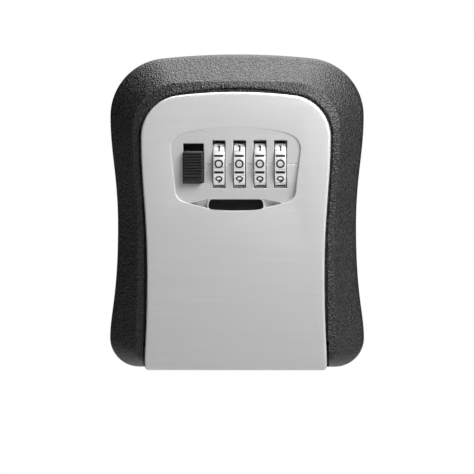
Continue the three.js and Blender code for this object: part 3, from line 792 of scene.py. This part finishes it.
def ribbon(points, half_width, height):
    """Vertices and faces of a flat ribbon along a line, in a plane of its own, with square ends."""
    points = refined(points)
    count = len(points)
    closed = math.dist(points[0], points[-1]) < 1e-6
    verts = []
    for i, (x, z) in enumerate(points):
        before, after = points[max(i - 1, 0)], points[min(i + 1, count - 1)]
        if closed:
            before, after = points[(i - 1) % (count - 1)], points[(i + 1) % (count - 1)]
        dx, dz = after[0] - before[0], after[1] - before[1]
        size = math.hypot(dx, dz) or 1
        nx, nz = -dz / size * half_width, dx / size * half_width
        left, right = (x + nx, z + nz), (x - nx, z - nz)
        verts += [(*left, 0), (*right, 0), (*right, height), (*left, height)]
    corners, last = range(4), 4 * (count - 1)
    faces = []
    for k in range(0, last, 4):
        faces += [[k + j, k + (j + 1) % 4, k + 4 + (j + 1) % 4, k + 4 + j] for j in corners]
    return verts, faces + [list(corners), [last + j for j in corners]]


def wheel_rise(angle):
    """How far the rim stands over its nominal radius: it dips half-way between two figures."""
    pitch = 2 * math.pi / DIGITS
    off = abs((angle / pitch) % 1 - 0.5) * pitch * WHEEL_R  # distance from the dip along the rim
    depth, half = GROOVE_BETWEEN
    return -depth * max(0.0, 1 - (off / half) ** 2)


def make_figures(i, material):
    """Black figures and bars on one wheel. Figure 0 faces front, and 1 is above it."""
    sunk, above_centre = 0.03, 0.1
    verts, faces = [], []

    def lay(flat, flat_faces, angle):
        """Wraps a flat shape onto the wheel, centred at that angle above the front."""
        base = len(verts)
        for x, z, lift in flat:
            a = angle + z / WHEEL_R
            r = WHEEL_R - sunk + lift + wheel_rise(a)
            verts.append((WHEEL_XS[i] + x, -AXIS_DEPTH - r * math.cos(a), AXIS_Z + r * math.sin(a)))
        faces.extend([[base + k for k in face] for face in flat_faces])

    for n in range(DIGITS):
        angle = 2 * math.pi * n / DIGITS
        for stroke in digit_strokes(n):
            raised = [(x, z + above_centre) for x, z in stroke]
            lay(*ribbon(raised, STROKE_HALF, 0.07), angle)
        bar_x, bar_half = BAR
        lay(*ribbon([(-bar_x, 0), (bar_x, 0)], bar_half, 0.06), angle + math.pi / DIGITS)
    figures = solid(f"figures_{i + 1}", verts, faces)
    finish_piece(figures, f"wheel_{i + 1}_figures", material, f"wheel_{i + 1}", "black_plastic")


def wheel_profile(corner, quarter_steps=4):
    """(x, radius) points round the section of a wheel with rounded rims."""
    side_r, base = 6.0, WHEEL_R - corner
    half = [(-WHEEL_HALF, AXIS_BORE_R), (-WHEEL_HALF, side_r)]
    for k in range(quarter_steps + 1):
        a = math.radians(90 * k / quarter_steps)
        half.append((-WHEEL_HALF + corner * (1 - math.cos(a)), base + corner * math.sin(a)))
    return half + [(-x, r) for x, r in reversed(half)]


def make_wheel(i, material):
    """A chromed wheel with rounded rims and a shallow dip between neighbouring figures."""
    sides, corner = 240, 0.3
    profile = wheel_profile(corner)
    rim = WHEEL_R - corner - 1  # what is farther out than this follows the dips
    verts = []
    for s in range(sides):
        a = 2 * math.pi * s / sides
        for x, r in profile:
            r += wheel_rise(a) if r > rim else 0
            verts.append((WHEEL_XS[i] + x, -AXIS_DEPTH - r * math.cos(a), AXIS_Z + r * math.sin(a)))
    n = len(profile)
    faces = []
    for s in range(sides):
        here, there = s * n, (s + 1) % sides * n
        for k in range(n):
            m = (k + 1) % n
            faces.append([here + k, here + m, there + m, there + k])
    wheel = solid("wheel", verts, faces)
    body, node = f"wheel_{i + 1}", f"number_wheel_{i + 1}"
    finish_piece(wheel, f"{body}_body", material, body, "wheel_chrome", node, smooth=40)


# ---------------------------------------------------------------- the lock button
def make_button(material):
    """The push-down button: a wide skirt behind the door, a body through the slot, and ribs."""
    x, half, low, high, front = BUTTON_X, 3.6, 10.4, 22.2, 40.0
    left, right = x - half, x + half
    skirt = slab(rounded_box(x - 4.6, x + 4.6, 7.2, 26.2, 0.8), 31.7, 33)
    straight = rounded_box(left, right, low, high, 0.4)
    narrow = rounded_box(left + 0.3, right - 0.3, low + 0.3, high - 0.3, 0.3)
    body = loft([(32.5, straight), (front - 1.3, straight), (front - 1.0, narrow)])
    foot = block(x - 1.8, x + 1.8, 12, 20, 30.75, 32)
    join(skirt, body, foot)
    ribs, first_rib = 9, low + 2.1
    pitch = (high - 0.3 - first_rib) / ribs
    half_rib = 0.36 * pitch
    # Each ring of a rib: depth behind the front, how far in at the sides and along it, corner.
    rib_rings = ((1.2, 0.1, 0, 0.12), (0.25, 0.15, 0, 0.12), (0, 0.35, 0.2, 0.08))
    for k in range(ribs):
        z = first_rib + (k + 0.5) * pitch
        rings = []
        for behind, side, end, r in rib_rings:
            bottom, top = z - half_rib + end, z + half_rib - end
            outline = rounded_box(left + side, right - side, bottom, top, r, 3)
            rings.append((front - behind, outline))
        join(skirt, loft(rings))
    finish_piece(skirt, "push_button", material, "latch", "black_plastic", "lock_button", smooth=30)


# ---------------------------------------------------------------- build
bpy.context.scene.view_settings.view_transform = "Standard"
make_camera()
light_the_scene()
make_world()
make_floor()

BLACK_COAT = powder_coat()
SILVER = satin_silver()
CAST = cast_metal("raw_casting", (0.6, 0.6, 0.61))
CAST_INSIDE = cast_metal("lock_casting", (0.64, 0.64, 0.65), 0.4)
STEEL = plated_steel("steel", (0.7, 0.7, 0.71), 0.25)
CHROME = plated_steel("wheel_chrome", (0.93, 0.93, 0.94), 0.3, (0.05, 1, 1), metallic=0.5)
BRASS = plated_steel("brass", (0.72, 0.54, 0.26), 0.3)
PLASTIC = moulded_plastic("black_plastic", (0.013, 0.013, 0.014), 0.4)
FIGURES = moulded_plastic("figure_paint", (0.003, 0.003, 0.003), 0.5)
RUBBER = moulded_plastic("black_rubber", (0.03, 0.03, 0.03), 0.8)

make_case_shell(BLACK_COAT)
make_door(SILVER)
make_finger_cup(PLASTIC)
make_button(PLASTIC)
for wheel in range(4):
    make_wheel(wheel, CHROME)
    make_figures(wheel, FIGURES)
    repaint(f"code_hub_{wheel + 1}", BRASS)
for node in ("rear_plate", "hinge_block"):
    repaint(node, CAST)
repaint("lock_housing", CAST_INSIDE, 0.25)
for node in ("hinge_pin", "keeper_strip", "dial_shaft", "latch_slide"):
    repaint(node, STEEL)
repaint("latch_spring", STEEL, 0)
repaint("floor_buffer", RUBBER, 0.5)
repaint("code_lever", BRASS)
repaint("click_spring", BRASS, 0.08)
for kind, count in (("rear_screw", 4), ("housing_screw", 4), ("keeper_screw", 2)):
    for screw in range(count):
        repaint(f"{kind}_{screw + 1}", STEEL, 0.08)
